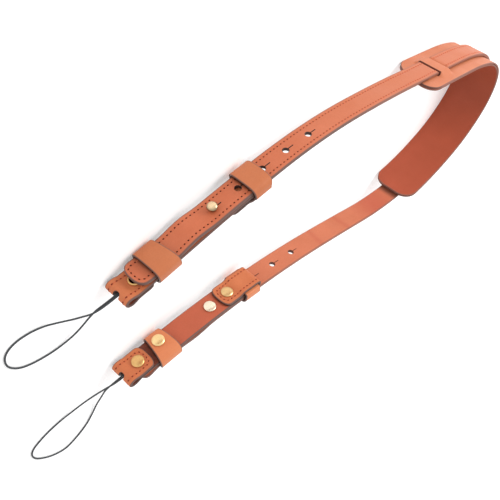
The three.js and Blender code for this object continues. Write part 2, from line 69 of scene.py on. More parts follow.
# Driving dimensions of the leather pieces
STRAP_WIDTH = 18.0
STRAP_THICK = 2.6
STRAP_SPREAD = 1.06
STRAP_TIP_DEPTH = 7.0
MIDDLE = STRAP_WIDTH / 2
TIP_POWER = 2.6
STAND_OFF_TIP = 30.0
STAND_OFF_FROM = 40.0
STAND_OFF_TO = 75.0
STAND_OFF = 1.8
HOLE_FIRST = 78.3
HOLE_PITCH = 21.5
HOLE_COUNT = 5
HOLE_RADIUS = 2.1
SLIT_LENGTH = 4.5
PAD_FROM = 277.5
PAD_TO = 581.5
PAD_WIDTH = 39.2
PAD_THICK = 1.4
LINING_THICK = 1.2
PAD_CORNER = 13.0
PAD_SLANT = -0.2
PAD_LOW = MIDDLE - PAD_WIDTH / 2
PAD_HIGH = MIDDLE + PAD_WIDTH / 2
PAD_MID = STRAP_THICK + GAP + PAD_THICK / 2
LINING_MID = PAD_MID + PAD_THICK / 2 + GAP + LINING_THICK / 2
BRIDGE_INSET = 20.5
BRIDGE_LENGTH = 17.0
BRIDGE_SLOT = 3.0
BRIDGE_CLEAR = 1.0
BRIDGE_SLOPE = 5.0
STRIP_THICK = 2.0
NOTCH_LOW = 6.9
NOTCH_HIGH = 11.1
NOTCH_REACH = 2.7
FLAP_DEPTH = 5.0
KEEPER_WALL = 1.4

# Radii of the leather's rounded edges and cut corners
STRAP_ROUND = 0.7
PAD_ROUND = 0.5
LINING_ROUND = 0.45
STRIP_ROUND = 0.55
KEEPER_ROUND = 0.5
SLOT_CORNER = 1.2
NOTCH_CORNER = 1.5

# Spacing of the leather's mesh points
STRAP_STEP = 1.6
PAD_STEP = 1.5
PAD_RIM_STEP = 2.0
STRIP_STEP = 1.0
SLOT_STEP = 1.0
CUT_STEP = 0.8
FIRST_ROW = 2.0
LAST_ROW = 1.0

# Driving dimensions of the metal pieces and the cord
RIVET_CAP = 4.5
RIVET_HEIGHT = 1.6
RIVET_SHANK = 1.25
RIVET_SEAT = 4.2
RIVET_ROUND = 0.35
STUD_HEAD = 3.5
STUD_HEAD_HALF = 2.2
STUD_NECK = 1.5
STUD_BACK = 4.5
STUD_BACK_HEIGHT = 1.3
STUD_SEAT = 4.2
STUD_ROUND = 0.4
TURNED_SIDES = 48
CORD_DIAMETER = 1.1
CORD_STEPS = 5

# Plan of the strap's outer face: part of the strap, arc length, turn in degrees (left is positive)
PLAN = [
    ("tab a", 24, 4),
    ("tip a", 36, 1),
    ("holes a", 60, -4),
    ("leg a", 80, -12.5),
    ("leg a at the pad", 80, -5),
    ("pad a", 60, -1.5),
    ("bend opens", 35, -11.5),
    ("bend", 30, -26.5),
    ("bend, tightest", 30, -39),
    ("bend, turning back", 30, -36.5),
    ("bend closes", 45, -31.5),
    ("pad b", 45, -15),
    ("pad b, end", 30, -10.5),
    ("leg b at the pad", 50, -12),
    ("leg b", 60, 2),
    ("leg b, hollow", 70, 6.5),
    ("holes b", 70, 7),
    ("tip b", 25, 2.5),
    ("tab b", 24, 2.5),
]
START_X = 199.8
START_Y = -45.0
START_HEADING = 188.0
LENGTH = sum(length for _, length, _ in PLAN)


class Edges(NamedTuple):
    """Front and rear edge of a keeper, and their slants along the strap per millimetre of rise."""

    front: float
    rear: float
    front_slant: float = 0.0
    rear_slant: float = 0.0


class End(NamedTuple):
    """One end of the strap: where its tab's crest is, and how its pieces lie."""

    start: float
    run: float
    low: float
    tip: float
    tip_lift: float
    tip_keeper: Edges
    keeper_rivet: float
    flap_end: float
    slit: float

    def station(self, at):
        return self.start + self.run * at

    def distance(self, station):
        return (station - self.start) / self.run


ENDS = {
    "a": End(
        start=-0.7, run=0.965, low=2.5, tip=12.2, tip_lift=1.4,
        tip_keeper=Edges(23.5, 39.6, 0.02, 0.16), keeper_rivet=29.3, flap_end=84.3, slit=0.3,
    ),
    "b": End(
        start=LENGTH, run=-1.0, low=3.0, tip=10.5, tip_lift=5.0,
        tip_keeper=Edges(26.2, 41.2, -0.17, 0.12), keeper_rivet=33.0, flap_end=86.0, slit=0.12,
    ),
}

# Middle of the strip under each strap end: part, distance from the tab's crest, depth; the rear flap runs
# on to its end at the same depth
STRIP_ROUTE = [
    ("tab flap", 23, 7),
    ("tab flap", 16, 7),
    ("tab flap", 9.5, 7),
    ("tab fold", 6.4, 7.9),
    ("tab fold", 3.6, 8.2),
    ("tab crest", 1.2, 6.8),
    ("tab crest", 1, 5),
    ("tab fold", 3, 3.5),
    ("tab fold", 6.2, 3.7),
    ("tab", 9.5, 4.7),
    ("under the rivet head", 15, 4.7),
    ("under the rivet head", 20, 4.6),
    ("body", 30, 4),
    ("body", 44, 3.9),
    ("body", 70, 3.9),
    ("body", 100, 3.9),
    ("body", 117.5, 3.9),
    ("rear fold", 118.9, 4.5),
    ("rear fold", 119.5, 5.9),
    ("rear fold", 118.9, 7.3),
    ("rear fold", 117.5, 7.9),
    ("rear flap", 110, 7.9),
    ("rear flap", 103.2, 7.9),
    ("rear flap", 99.4, 6.3),
    ("rear flap", 94, 6.2),
]

# Keepers: name, edges (none: the end's own), bulge of the outer side over the front and the rear edge,
# half width, depth of the widest place, and from there the reach and squareness of the outer side and of
# the side of the wearer
REAR_KEEPER = Edges(103.5, 117.5)
KEEPERS = [
    ("tip_keeper", None, (0, 0), 10.3, 2.45, (5.6, 3.2), (8.15, 2.5)),
    ("rear_keeper", REAR_KEEPER, (0.8, 1.5), 10.5, 3.8, (6.8, 3.8), (2.1, 8)),
]

# Rivets: name, distance from the crest (none: on the tip keeper), rise, depth under the cap, far end,
# and whether there is a ring head
RIVETS = [
    ("tab_rivet", 14.6, 9, 8, 3.4, True),
    ("keeper_rivet", None, 8.2, 11.3, 9.6, False),
    ("flap_rivet", 94.8, 9, 7.2, 3.2, False),
]

# Free cord loops, from inside the tab out along the floor and back: x, y, z
CORD_ROUTES = {
    "a": [
        (195.7, -40.1, 11.8), (200.2, -39.4, 11.8), (206, -37.8, 11.2), (211.5, -35.6, 9.7),
        (215.5, -34.6, 8.2), (219.5, -34.8, 6.6), (224.5, -35.7, 5), (229.5, -37.1, 3.4),
        (234.5, -38.7, 2.1), (239.5, -40.5, 1.2), (245.5, -42.1, 0.8), (250.5, -42.8, 0.7),
        (255.5, -42.7, 0.7), (260.5, -40.9, 0.7), (263.5, -37.9, 0.7), (265, -33.3, 0.7),
        (264.5, -27.3, 0.7), (261.5, -22.1, 0.7), (257.5, -18.5, 0.7), (251.5, -15.8, 0.7),
        (244.5, -14.1, 0.7), (237.5, -13.5, 0.8), (230.5, -14.7, 1.3), (225.5, -17.5, 2.4),
        (220.5, -23.3, 4.5), (216, -29.8, 6.6), (211.5, -34.8, 8.4), (206, -37.8, 10),
        (200.2, -39.4, 10.6), (195.7, -40.1, 10.6),
    ],
    "b": [
        (201, 44.4, 12.6), (205.7, 45, 12.6), (210.5, 46.1, 11.8), (216.5, 47.4, 10.1),
        (222, 50.2, 7.8), (228, 54, 5.2), (233.5, 57.4, 3.2), (239.5, 60.1, 1.8),
        (246.5, 61.9, 0.9), (253.5, 63.2, 0.7), (259.5, 64.7, 0.7), (265.5, 67.2, 0.7),
        (270.5, 70.6, 0.7), (272.9, 75.6, 0.7), (272.1, 82.6, 0.7), (268, 89.6, 0.7),
        (260.5, 97, 0.7), (251.5, 100.9, 0.7), (241.5, 97.9, 0.7), (232, 91.1, 0.8),
        (226, 83.1, 1), (222, 73.6, 2.3), (219, 63.1, 5.2), (216, 53.1, 8.1),
        (211.5, 47.6, 10.4), (205.7, 45, 11.4), (201, 44.4, 11.4),
    ],
}

BRIDGES = [
    (PAD_FROM + BRIDGE_INSET, PAD_FROM + BRIDGE_INSET + BRIDGE_LENGTH),
    (PAD_TO - BRIDGE_INSET - BRIDGE_LENGTH, PAD_TO - BRIDGE_INSET),
]


# Places on the strap


@lru_cache(maxsize=None)
def plan_at(station):
    """Point and heading of the plan at a station; past the tabs it runs on along their arcs."""
    x, y = START_X, START_Y
    heading = math.radians(START_HEADING)
    left = station
    for name, length, turn in PLAN:
        run = left if name == PLAN[-1][0] else min(left, length)
        angle = math.radians(turn) * run / length
        chord = run if abs(angle) < 1e-9 else 2 * run * math.sin(angle / 2) / angle
        x += chord * math.cos(heading + angle / 2)
        y += chord * math.sin(heading + angle / 2)
        heading += angle
        left -= run
    return x, y, heading


def inward(station):
    heading = plan_at(station)[2]
    return Vector((math.sin(heading), -math.cos(heading), 0))


def lerp(low, high, share):
    return low + (high - low) * share


def place(station, depth, rise):
    """From each tab to the pad, which stands on the floor, the strap slopes up and narrows a little."""
    x, y, _ = plan_at(station)
    end = ENDS["a" if station < LENGTH / 2 else "b"]
    to_pad = min(station / PAD_FROM, (LENGTH - station) / (LENGTH - PAD_TO), 1)
    low = lerp(end.low, -PAD_LOW, to_pad)
    z = low + MIDDLE + (rise - MIDDLE) * lerp(STRAP_SPREAD, 1, to_pad)
    return (Vector((x, y, z)) + inward(station) * depth) * MM


def smoothstep(value, low, high):
    t = min(max((value - low) / (high - low), 0), 1)
    return t * t * (3 - 2 * t)


def under_bridge(station, margin=0.0):
    """0 outside the bridges, 1 under them, and a smooth ramp across each slot."""
    within = max(min(station - a, b - station) for a, b in BRIDGES)
    return smoothstep(within, margin, BRIDGE_SLOT - margin)


def stand_off(station):
    """How far the strap stands off outwards: its tip lifts, and it bows between tip keeper and stud."""
    total = 0.0
    for end in ENDS.values():
        at = end.distance(station)
        tip = max(0, (STAND_OFF_TIP - at) / (STAND_OFF_TIP - end.tip))
        share = (at - STAND_OFF_FROM) / (STAND_OFF_TO - STAND_OFF_FROM)
        total += end.tip_lift * tip ** 2 + STAND_OFF * math.sin(math.pi * min(max(share, 0), 1)) ** 2
    return total


def smooth_route(points, steps):
    """Centripetal Catmull-Rom curve through the points."""
    points = [np.array(p, float) for p in points]
    points = [2 * points[0] - points[1]] + points + [2 * points[-1] - points[-2]]
    result = []
    for p0, p1, p2, p3 in zip(points, points[1:], points[2:], points[3:]):
        knots = [0.0]
        for a, b in ((p0, p1), (p1, p2), (p2, p3)):
            knots.append(knots[-1] + math.sqrt(np.linalg.norm(b - a)))
        k0, k1, k2, k3 = knots
        for k in np.linspace(k1, k2, steps, endpoint=False):
            a1 = (k1 - k) / (k1 - k0) * p0 + (k - k0) / (k1 - k0) * p1
            a2 = (k2 - k) / (k2 - k1) * p1 + (k - k1) / (k2 - k1) * p2
            a3 = (k3 - k) / (k3 - k2) * p2 + (k - k2) / (k3 - k2) * p3
            b1 = (k2 - k) / (k2 - k0) * a1 + (k - k0) / (k2 - k0) * a2
            b2 = (k3 - k) / (k3 - k1) * a2 + (k - k1) / (k3 - k1) * a3
            result.append((k2 - k) / (k2 - k1) * b1 + (k - k1) / (k2 - k1) * b2)
    result.append(points[-2])
    return np.array(result)


def reach_along(points):
    """Distance of each point from the first one, along the points."""
    return np.concatenate([[0], np.cumsum(np.linalg.norm(np.diff(points, axis=0), axis=1))])


def points_at(marks, points):
    """The points in (across, depth) or (along, across) at some distances along a path."""
    reach = reach_along(points)
    return np.stack([np.interp(marks, reach, points[:, k]) for k in (0, 1)], 1)


# Meshes


def add_object(name, data):
    obj = bpy.data.objects.new(name, data)
    bpy.context.scene.collection.objects.link(obj)
    return obj


def mesh_object(name, vertices, faces, edge_paint_and_shade=None, inner_side=None, fold_shade=None, painted_shade=None):
    """Smooth mesh object with its faces pointing out, and its masks of paint and of painted shade."""
    mesh = bpy.data.meshes.new(name)
    mesh.from_pydata([tuple(v) for v in vertices], [], faces)
    masks = {"edge_paint_and_shade": edge_paint_and_shade, "inner_side": inner_side, "fold_shade": fold_shade, "painted_shade": painted_shade}
    for mask_name, values in masks.items():
        if values is not None:
            mesh.attributes.new(mask_name, "FLOAT", "POINT").data.foreach_set("value", values)
    work = bmesh.new()
    work.from_mesh(mesh)
    bmesh.ops.recalc_face_normals(work, faces=work.faces)
    work.to_mesh(mesh)
    work.free()
    mesh.shade_smooth()
    return add_object(name, mesh)


def dense(loop, step):
    """The closed loop with its long edges divided."""
    result = []
    for a, b in zip(loop, loop[1:] + loop[:1]):
        parts = max(1, math.ceil(math.dist(a, b) / step))
        for i in range(parts):
            t = i / parts
            result.append((lerp(a[0], b[0], t), lerp(a[1], b[1], t)))
    return result


MITRE_LIMIT = 0.6


def left_normals(loop):
    """Normals to the left of a closed loop, lengthened at its corners."""
    points = np.array(loop)
    run = np.roll(points, -1, 0) - points
    run /= np.linalg.norm(run, axis=1)[:, None]
    left = np.stack([-run[:, 1], run[:, 0]], 1)
    both = left + np.roll(left, 1, 0)
    both /= np.linalg.norm(both, axis=1)[:, None]
    return both / np.maximum((both * left).sum(1), MITRE_LIMIT)[:, None]


EDGE_PAINT = (0.5, 0.9, 1.0, 1.0, 1.0)
EDGE_MARGIN = 0.3


def edge_profile(thick, radius):
    """Rounded leather edge from the outer face to the inner one: inset, lift from the middle, paint."""
    rows = [(radius + EDGE_MARGIN, -thick / 2, 0.0)]
    for i, paint in enumerate(EDGE_PAINT):
        angle = math.pi / 2 * i / (len(EDGE_PAINT) - 1)
        rows.append((radius * (1 - math.sin(angle)), -thick / 2 + radius * (1 - math.cos(angle)), paint))
    return rows + [(inset, -lift, paint) for inset, lift, paint in reversed(rows)]


def inside(points, loop):
    """Which of the points lie inside a closed loop, by counting crossings."""
    x, y = points[:, 0], points[:, 1]
    result = np.zeros(len(points), bool)
    for (x0, y0), (x1, y1) in zip(loop, np.roll(loop, -1, 0)):
        if y0 != y1:
            crosses = (y0 > y) != (y1 > y)
            result ^= crosses & (x < (x1 - x0) * (y - y0) / (y1 - y0) + x0)
    return result


RIM_CLEAR = 0.45
INSIDE_ONLY = 1
TOLERANCE = 1e-6


def cut_grid(rims, rows, columns):
    """Triangles of a grid between an outer rim and the rims of its holes; the rims' points come first."""
    corners = np.concatenate(rims)
    grid = np.array([(u, w) for u in rows for w in columns])
    near = np.full(len(grid), np.inf)
    for corner in corners:
        near = np.minimum(near, np.abs(grid - corner).max(1))
    flat = np.concatenate([corners, grid[near > RIM_CLEAR]])
    edges = []
    first = 0
    for rim in rims:
        count = len(rim)
        edges += [(first + i, first + (i + 1) % count) for i in range(count)]
        first += count
    made = delaunay_2d_cdt([Vector(p) for p in flat], edges, [], INSIDE_ONLY, TOLERANCE)
    points = np.array([tuple(p) for p in made[0]])
    triangles = np.array(made[2])
    sources = made[3]
    middles = points[triangles].mean(1)
    kept = inside(middles, rims[0])
    for rim in rims[1:]:
        kept &= ~inside(middles, rim)
    index_of = {source: i for i, found in enumerate(sources) for source in found}
    return points, triangles[kept], [index_of[i] for i in range(first)]


def new_leather(along, across, lift):
    return 0.0, 0.0, 0.0


# Painted shade on the walls of holes, slots and the notch
HOLE_WALL_SHADE = 0.65
HOLE_ROUND_SHARE = 0.3


def leather_sheet(
    name, outline, holes, surface, thick, radius, rows, columns, shade_and_wear, hole_wall_shade=HOLE_WALL_SHADE
):
    """Leather cut to an outline in (along, across), with rounded edges that are tighter in the holes.

    surface(along, across, lift) gives the point, rows and columns the grid inside, and
    shade_and_wear(along, across, lift) the strength of painted fold shade and of painted shade, and how
    far the edge paint is rubbed off. The outline runs counter-clockwise and the holes clockwise, so the
    leather is on the left of each.
    """
    profile = edge_profile(thick, radius)
    loops = [np.array(loop) for loop in [outline] + holes]
    normals = [left_normals([tuple(p) for p in loop]) for loop in loops]
    insets = [1.0] + [HOLE_ROUND_SHARE] * len(holes)
    rims = [loop + n * profile[0][0] * k for loop, n, k in zip(loops, normals, insets)]
    points, triangles, rim_ids = cut_grid(rims, rows, columns)
    used = sorted(set(triangles.ravel().tolist()))
    new_id = {old: i for i, old in enumerate(used)}
    vertices, paint, side, darkening, faces = [], [], [], [], []
    for lift in (-thick / 2, thick / 2):
        for i in used:
            vertices.append(surface(*points[i], lift))
            paint.append(0.0)
            side.append(float(lift > 0))
            darkening.append(shade_and_wear(*points[i], lift)[:2])
    count = len(used)
    for triangle in triangles.tolist():
        a, b, c = (new_id[i] for i in triangle)
        faces += [(a, b, c), (a + count, c + count, b + count)]
    first = 0
    for loop, normal, k in zip(loops, normals, insets):
        # The walls of the holes get painted shade
        wall_shade = hole_wall_shade if first else 0.0
        ring = [new_id[i] for i in rim_ids[first:first + len(loop)]]
        bands = [ring]
        for inset, lift, painted in profile[1:-1]:
            band = []
            for p, n in zip(loop, normal):
                u, w = p + n * inset * k
                band.append(len(vertices))
                vertices.append(surface(u, w, lift))
                side.append(lift / thick + 0.5)
                fold_shade, painted_shade, bare = shade_and_wear(u, w, lift)
                paint.append(painted * (1 - bare))
                darkening.append((fold_shade, max(painted_shade, painted * wall_shade)))
            bands.append(band)
        bands.append([i + count for i in ring])
        for low, high in zip(bands, bands[1:]):
            for i in range(len(ring)):
                j = (i + 1) % len(ring)
                faces.append((low[i], low[j], high[j], high[i]))
        first += len(loop)
    return mesh_object(name, vertices, faces, paint, side, *zip(*darkening))


def leather_ring(name, contour, section, point):
    """Closed leather band: a section of (along, lift, paint) round a contour of (across, depth)."""
    run = np.roll(contour, -1, 0) - np.roll(contour, 1, 0)
    run /= np.linalg.norm(run, axis=1)[:, None]
    vertices, paint, side, faces = [], [], [], []
    for (across, depth), (ra, rd) in zip(contour, run):
        for along, lift, painted in section:
            vertices.append(point(along, depth - ra * lift, across + rd * lift))
            paint.append(painted)
            side.append(float(lift < 0))
    size = len(section)
    for i in range(len(contour)):
        for j in range(size):
            a, b = i * size + j, i * size + (j + 1) % size
            c = (i + 1) % len(contour) * size
            faces.append((a, b, c + (j + 1) % size, c + j))
    return mesh_object(name, vertices, faces, paint, side)


def turned(name, profile, station, rise, dark):
    """Turned metal piece: a profile of (radius, depth), and how much painted shade its first points get.
    """
    axis = inward(station)
    up = Vector((0, 0, 1))
    across = axis.cross(up)
    centre = place(station, 0, rise)
    vertices, paint, rings, faces = [], [], [], []
    for row, (radius, depth) in enumerate(profile):
        middle = centre + axis * depth * MM
        ring = []
        for i in range(TURNED_SIDES if radius > 0 else 1):
            angle = 2 * math.pi * i / TURNED_SIDES
            ring.append(len(vertices))
            vertices.append(middle + (across * math.cos(angle) + up * math.sin(angle)) * radius * MM)
            paint.append(float(dark[row]) if row < len(dark) else 0.0)
        rings.append(ring)
    for low, high in zip(rings, rings[1:]):
        for i in range(TURNED_SIDES):
            j = (i + 1) % TURNED_SIDES
            corners = [low[i % len(low)], low[j % len(low)], high[j % len(high)], high[i % len(high)]]
            faces.append(tuple(dict.fromkeys(corners)))
    return mesh_object(name, vertices, faces, paint)


def arc(centre, radius, start, stop, steps):
    """Points of an arc in (radius, depth) or (along, across), angles in degrees."""
    angles = np.radians(np.linspace(start, stop, steps + 1))
    return [(centre[0] + radius * math.cos(a), centre[1] + radius * math.sin(a)) for a in angles]


# Materials


def node(tree, kind, **settings):
    made = tree.nodes.new(kind)
    for key, value in settings.items():
        if key in made.inputs:
            made.inputs[key].default_value = value
        else:
            setattr(made, key, value)
    return made


def new_material(name):
    material = bpy.data.materials.new(name)
    material.use_nodes = True
    tree = material.node_tree
    return material, tree, tree.nodes["Principled BSDF"]


def mask(tree, name):
    return node(tree, "ShaderNodeAttribute", attribute_name=name).outputs["Fac"]


def mix_colour(tree, factor, first, second):
    """Mix of two colours; each is a socket or a plain colour."""
    mixer = node(tree, "ShaderNodeMix", data_type="RGBA")
    tree.links.new(factor, mixer.inputs["Factor"])
    for socket, value in ((mixer.inputs[6], first), (mixer.inputs[7], second)):
        if isinstance(value, tuple):
            socket.default_value = (*value, 1)
        else:
            tree.links.new(value, socket)
    return mixer.outputs[2]


def ramp_between(tree, value, low, high):
    ranged = node(tree, "ShaderNodeMapRange", **{"From Min": low, "From Max": high})
    tree.links.new(value, ranged.inputs["Value"])
    return ranged.outputs["Result"]


def noise(tree, coordinates, scale, detail):
    made = node(tree, "ShaderNodeTexNoise", Scale=scale, Detail=detail)
    tree.links.new(coordinates, made.inputs["Vector"])
    return made.outputs["Fac"]


def bump(tree, height, distance, strength, below=None):
    made = node(tree, "ShaderNodeBump", Distance=distance, Strength=strength)
    tree.links.new(height, made.inputs["Height"])
    if below is not None:
        tree.links.new(below, made.inputs["Normal"])
    return made.outputs["Normal"]


def tinted(tone, share):
    return tuple(min(1.0, c * share) for c in tone)


def vary_gloss(tree, shader, value, low, high):
    """Roughness that runs from low to high with a value."""
    ranged = node(tree, "ShaderNodeMapRange", **{"To Min": low, "To Max": high})
    tree.links.new(value, ranged.inputs["Value"])
    tree.links.new(ranged.outputs["Result"], shader.inputs["Roughness"])


EDGE_TONE = (0.135, 0.072, 0.058)
PAD_EDGE_TONE = (0.24, 0.098, 0.07)
# Painted shade of folds and of leg b's shaded stretch by the pad
FOLD_SHADE_TONE = (0.42, 0.073, 0.039)
# Near-black painted shade, for shadows, shaded gaps, hollows and walls
PAINTED_SHADE_TONE = (0.022, 0.01, 0.007)
FLECK_SHARE = 0.12
NEAR_X = 0.1
FAR_X = -0.04


def towards_bend(tree, where):
    """0 at the strap's ends and 1 by the pad."""
    axes = node(tree, "ShaderNodeSeparateXYZ")
    tree.links.new(where, axes.inputs["Vector"])
    return ramp_between(tree, axes.outputs["X"], NEAR_X, FAR_X)


def leather(name, tone, deep_tone, inner_tone, rough, edge_tone=EDGE_TONE, far_tone=None):
    """Smooth vegetable-tanned leather: mottled, fine grain, pores, burnished dark edges, painted shade
    and sheen.
    """
    material, tree, shader = new_material(name)
    where = node(tree, "ShaderNodeTexCoord").outputs["Object"]
    cloud = ramp_between(tree, noise(tree, where, scale=45, detail=4), 0.3, 0.7)
    fleck = ramp_between(tree, noise(tree, where, scale=900, detail=2), 0.35, 0.75)
    face = mix_colour(tree, cloud, tone, deep_tone)
    # Painted sheen: the face blends to the far tone towards the bend
    if far_tone:
        face = mix_colour(tree, towards_bend(tree, where), face, far_tone)
    inner = mix_colour(tree, cloud, inner_tone, tinted(inner_tone, share=0.9))
    side = ramp_between(tree, mask(tree, "inner_side"), 0.45, 0.55)
    light_fleck = node(tree, "ShaderNodeMath", operation="MULTIPLY")
    light_fleck.inputs[1].default_value = FLECK_SHARE
    tree.links.new(fleck, light_fleck.inputs[0])
    sided = mix_colour(tree, side, face, inner)
    flecked = mix_colour(tree, light_fleck.outputs[0], sided, tinted(deep_tone, share=0.55))
    # Painted fold shade darkens the colour
    fold_shaded = mix_colour(tree, mask(tree, "fold_shade"), flecked, FOLD_SHADE_TONE)
    edged = mix_colour(tree, mask(tree, "edge_paint_and_shade"), fold_shaded, edge_tone)
    # Painted shade: the mask darkens the colour to near black where shadow falls
    shade_painted = mix_colour(tree, mask(tree, "painted_shade"), edged, PAINTED_SHADE_TONE)
    tree.links.new(shade_painted, shader.inputs["Base Color"])
    vary_gloss(tree, shader, cloud, rough - 0.06, rough + 0.1)
    shader.inputs["Specular IOR Level"].default_value = 0.3
    pores = node(tree, "ShaderNodeTexVoronoi", Scale=1500.0)
    tree.links.new(where, pores.inputs["Vector"])
    grain = bump(tree, pores.outputs["Distance"], distance=0.00008, strength=0.35)
    waves = noise(tree, where, scale=260, detail=3)
    soft = bump(tree, waves, distance=0.00025, strength=0.3, below=grain)
    tree.links.new(soft, shader.inputs["Normal"])
    return material


# Painted shade on metal: in a rivet's sunk middle and round a stud's rim
METAL_SHADE_TONE = (0.05, 0.03, 0.015)


def gold(name, tone, rough):
    """Satin gold with faint scuffs, and painted shade in sunk heads and at rims."""
    material, tree, shader = new_material(name)
    where = node(tree, "ShaderNodeTexCoord").outputs["Object"]
    cloud = ramp_between(tree, noise(tree, where, scale=500, detail=3), 0.35, 0.7)
    darkening = mix_colour(tree, cloud, tone, tinted(tone, share=0.9))
    sunk = mix_colour(tree, mask(tree, "edge_paint_and_shade"), darkening, METAL_SHADE_TONE)
    tree.links.new(sunk, shader.inputs["Base Color"])
    shader.inputs["Metallic"].default_value = 1.0
    vary_gloss(tree, shader, cloud, rough, rough + 0.1)
    scuffs = noise(tree, where, scale=1800, detail=2)
    tree.links.new(bump(tree, scuffs, distance=0.00001, strength=0.15), shader.inputs["Normal"])
    return material


def fibre(name, tone, rough, scale, far_tone=None):
    """Matt twisted fibre, which may fade to a far tone towards the pad."""
    material, tree, shader = new_material(name)
    where = node(tree, "ShaderNodeTexCoord").outputs["Object"]
    strands = ramp_between(tree, noise(tree, where, scale, detail=2), 0.35, 0.7)
    colour = mix_colour(tree, strands, tone, tinted(tone, share=1.5))
    if far_tone:
        colour = mix_colour(tree, towards_bend(tree, where), colour, far_tone)
    tree.links.new(colour, shader.inputs["Base Color"])
    shader.inputs["Roughness"].default_value = rough
    shader.inputs["Specular IOR Level"].default_value = 0.15
    tree.links.new(bump(tree, strands, distance=0.0001, strength=0.5), shader.inputs["Normal"])
    return material


# Its far tone is a painted sheen: the face turns duller and less red towards the bend
STRAP_LEATHER = leather(
    "strap leather", tone=(0.545, 0.146, 0.064), deep_tone=(0.49, 0.122, 0.05),
    inner_tone=(0.55, 0.16, 0.076), rough=0.5, far_tone=(0.485, 0.141, 0.064),
)
# Inner side of the keepers: darker flesh side, taken to near black by painted shade inside the loop
KEEPER_INNER_SHADE_TONE = (0.09, 0.03, 0.017)
# Keeper a's tone is darker with painted shade, keeper b's lighter with painted light
KEEPER_LEATHERS = {
    "a": leather(
        "keeper leather a shaded", tone=(0.503, 0.154, 0.06), deep_tone=(0.455, 0.133, 0.048),
        inner_tone=KEEPER_INNER_SHADE_TONE, rough=0.46,
    ),
    "b": leather(
        "keeper leather b lit", tone=(0.64, 0.21, 0.084), deep_tone=(0.59, 0.18, 0.07),
        inner_tone=KEEPER_INNER_SHADE_TONE, rough=0.46,
    ),
}
PAD_LEATHER = leather(
    "pad leather", tone=(0.542, 0.176, 0.083), deep_tone=(0.489, 0.149, 0.066),
    inner_tone=(0.55, 0.16, 0.076), rough=0.5, edge_tone=PAD_EDGE_TONE,
)
LINING_LEATHER = leather(
    "lining leather", tone=(0.56, 0.15, 0.07), deep_tone=(0.5, 0.125, 0.055),
    inner_tone=(0.385, 0.073, 0.031), rough=0.6, edge_tone=PAD_EDGE_TONE,
)
STRIP_LEATHER = leather(
    "strip leather", tone=(0.56, 0.163, 0.06), deep_tone=(0.495, 0.133, 0.048),
    inner_tone=(0.49, 0.107, 0.05), rough=0.5,
)
RIVET_GOLDS = {
    "tab_rivet": gold("tab rivet gold", (0.71, 0.44, 0.172), 0.3),
    "keeper_rivet": gold("keeper rivet gold", (0.87, 0.645, 0.315), 0.3),
    "flap_rivet": gold("flap rivet gold", (0.73, 0.505, 0.238), 0.3),
}
STUD_GOLD = gold("stud gold", (0.87, 0.66, 0.4), 0.24)
STUD_BACK_GOLD = gold("stud back gold", (0.89, 0.81, 0.63), 0.24)
THREAD = fibre("waxed thread", (0.46, 0.112, 0.05), rough=0.6, scale=2500)
# Near-black painted shade of the stitch holes, faded towards the bend; lighter on the strips
STITCH_HOLE_SHADE = fibre(
    "stitch hole", (0.05, 0.008, 0.004), rough=0.9, scale=2500, far_tone=(0.33, 0.072, 0.035)
)
SOFT_HOLE_SHADE = fibre("soft stitch hole", (0.16, 0.028, 0.014), rough=0.9, scale=2500)
CORD_FIBRE = fibre("cord fibre", (0.05, 0.053, 0.056), rough=0.95, scale=2200)


def finish_piece(obj, material, slot, *nodes):
    obj.data.materials.append(material)
    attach(obj, "root")
    if nodes:
        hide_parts(*nodes)


# Camera at the photograph's viewing angle; it is rolled, so that the picture's lower right is up
CAMERA_PLACE = Vector((315.35, -340.52, 199.4)) * MM
CAMERA_AZIMUTH = math.radians(33)
CAMERA_DIP = math.radians(24)
CAMERA_ROLL = math.radians(37.8)
FOCAL_SHARE = 650.66 / 500
SENSOR = 36.0


def add_camera():
    level = Vector((-math.sin(CAMERA_AZIMUTH), math.cos(CAMERA_AZIMUTH), 0))
    forward = level * math.cos(CAMERA_DIP) - Vector((0, 0, math.sin(CAMERA_DIP)))
    right = forward.cross(Vector((0, 0, 1))).normalized()
    up = right.cross(forward)
    picture_x = up * math.cos(CAMERA_ROLL) - right * math.sin(CAMERA_ROLL)
    picture_y = -up * math.sin(CAMERA_ROLL) - right * math.cos(CAMERA_ROLL)
    data = bpy.data.cameras.new("camera")
    data.sensor_width = SENSOR
    data.lens = SENSOR * FOCAL_SHARE
    data.clip_start = 0.01
    camera = add_object("camera", data)
    turn = Matrix((picture_x, picture_y, -forward)).transposed()
    camera.matrix_world = Matrix.Translation(CAMERA_PLACE) @ turn.to_4x4()
    bpy.context.scene.camera = camera


def build_cord(tag):
    points = smooth_route(CORD_ROUTES[tag], CORD_STEPS) * MM
    data = bpy.data.curves.new(f"cord_loop_{tag}", "CURVE")
    data.dimensions = "3D"
    data.bevel_depth = CORD_DIAMETER / 2 * MM
    data.bevel_resolution = 3
    data.use_fill_caps = True
    spline = data.splines.new("POLY")
    spline.points.add(len(points) - 1)
    for point, co in zip(spline.points, points):
        point.co = (*co, 1)
    cord = add_object(f"cord_loop_{tag}", data)
    finish_piece(cord, CORD_FIBRE, "cord_fabric", f"cord_{tag}")


# Strap


def shyness(across, power=TIP_POWER):
    """Share of its depth by which a rounded end falls short, from 0 in the middle to 1 at the sides."""
    return 1 - (1 - min(abs(across), 1) ** power) ** (1 / power)


def tip_points(end, sign, depth, inset=0.0, power=TIP_POWER, steps=14):
    """Rounded leather end that points along the sign, from its low corner to its high one."""
    points = []
    for i in range(steps + 1):
        across = -math.cos(math.pi * i / steps)
        points.append((end - sign * depth * shyness(across, power), MIDDLE + (MIDDLE - inset) * across))
    return points


HOLE_SIDES = 26


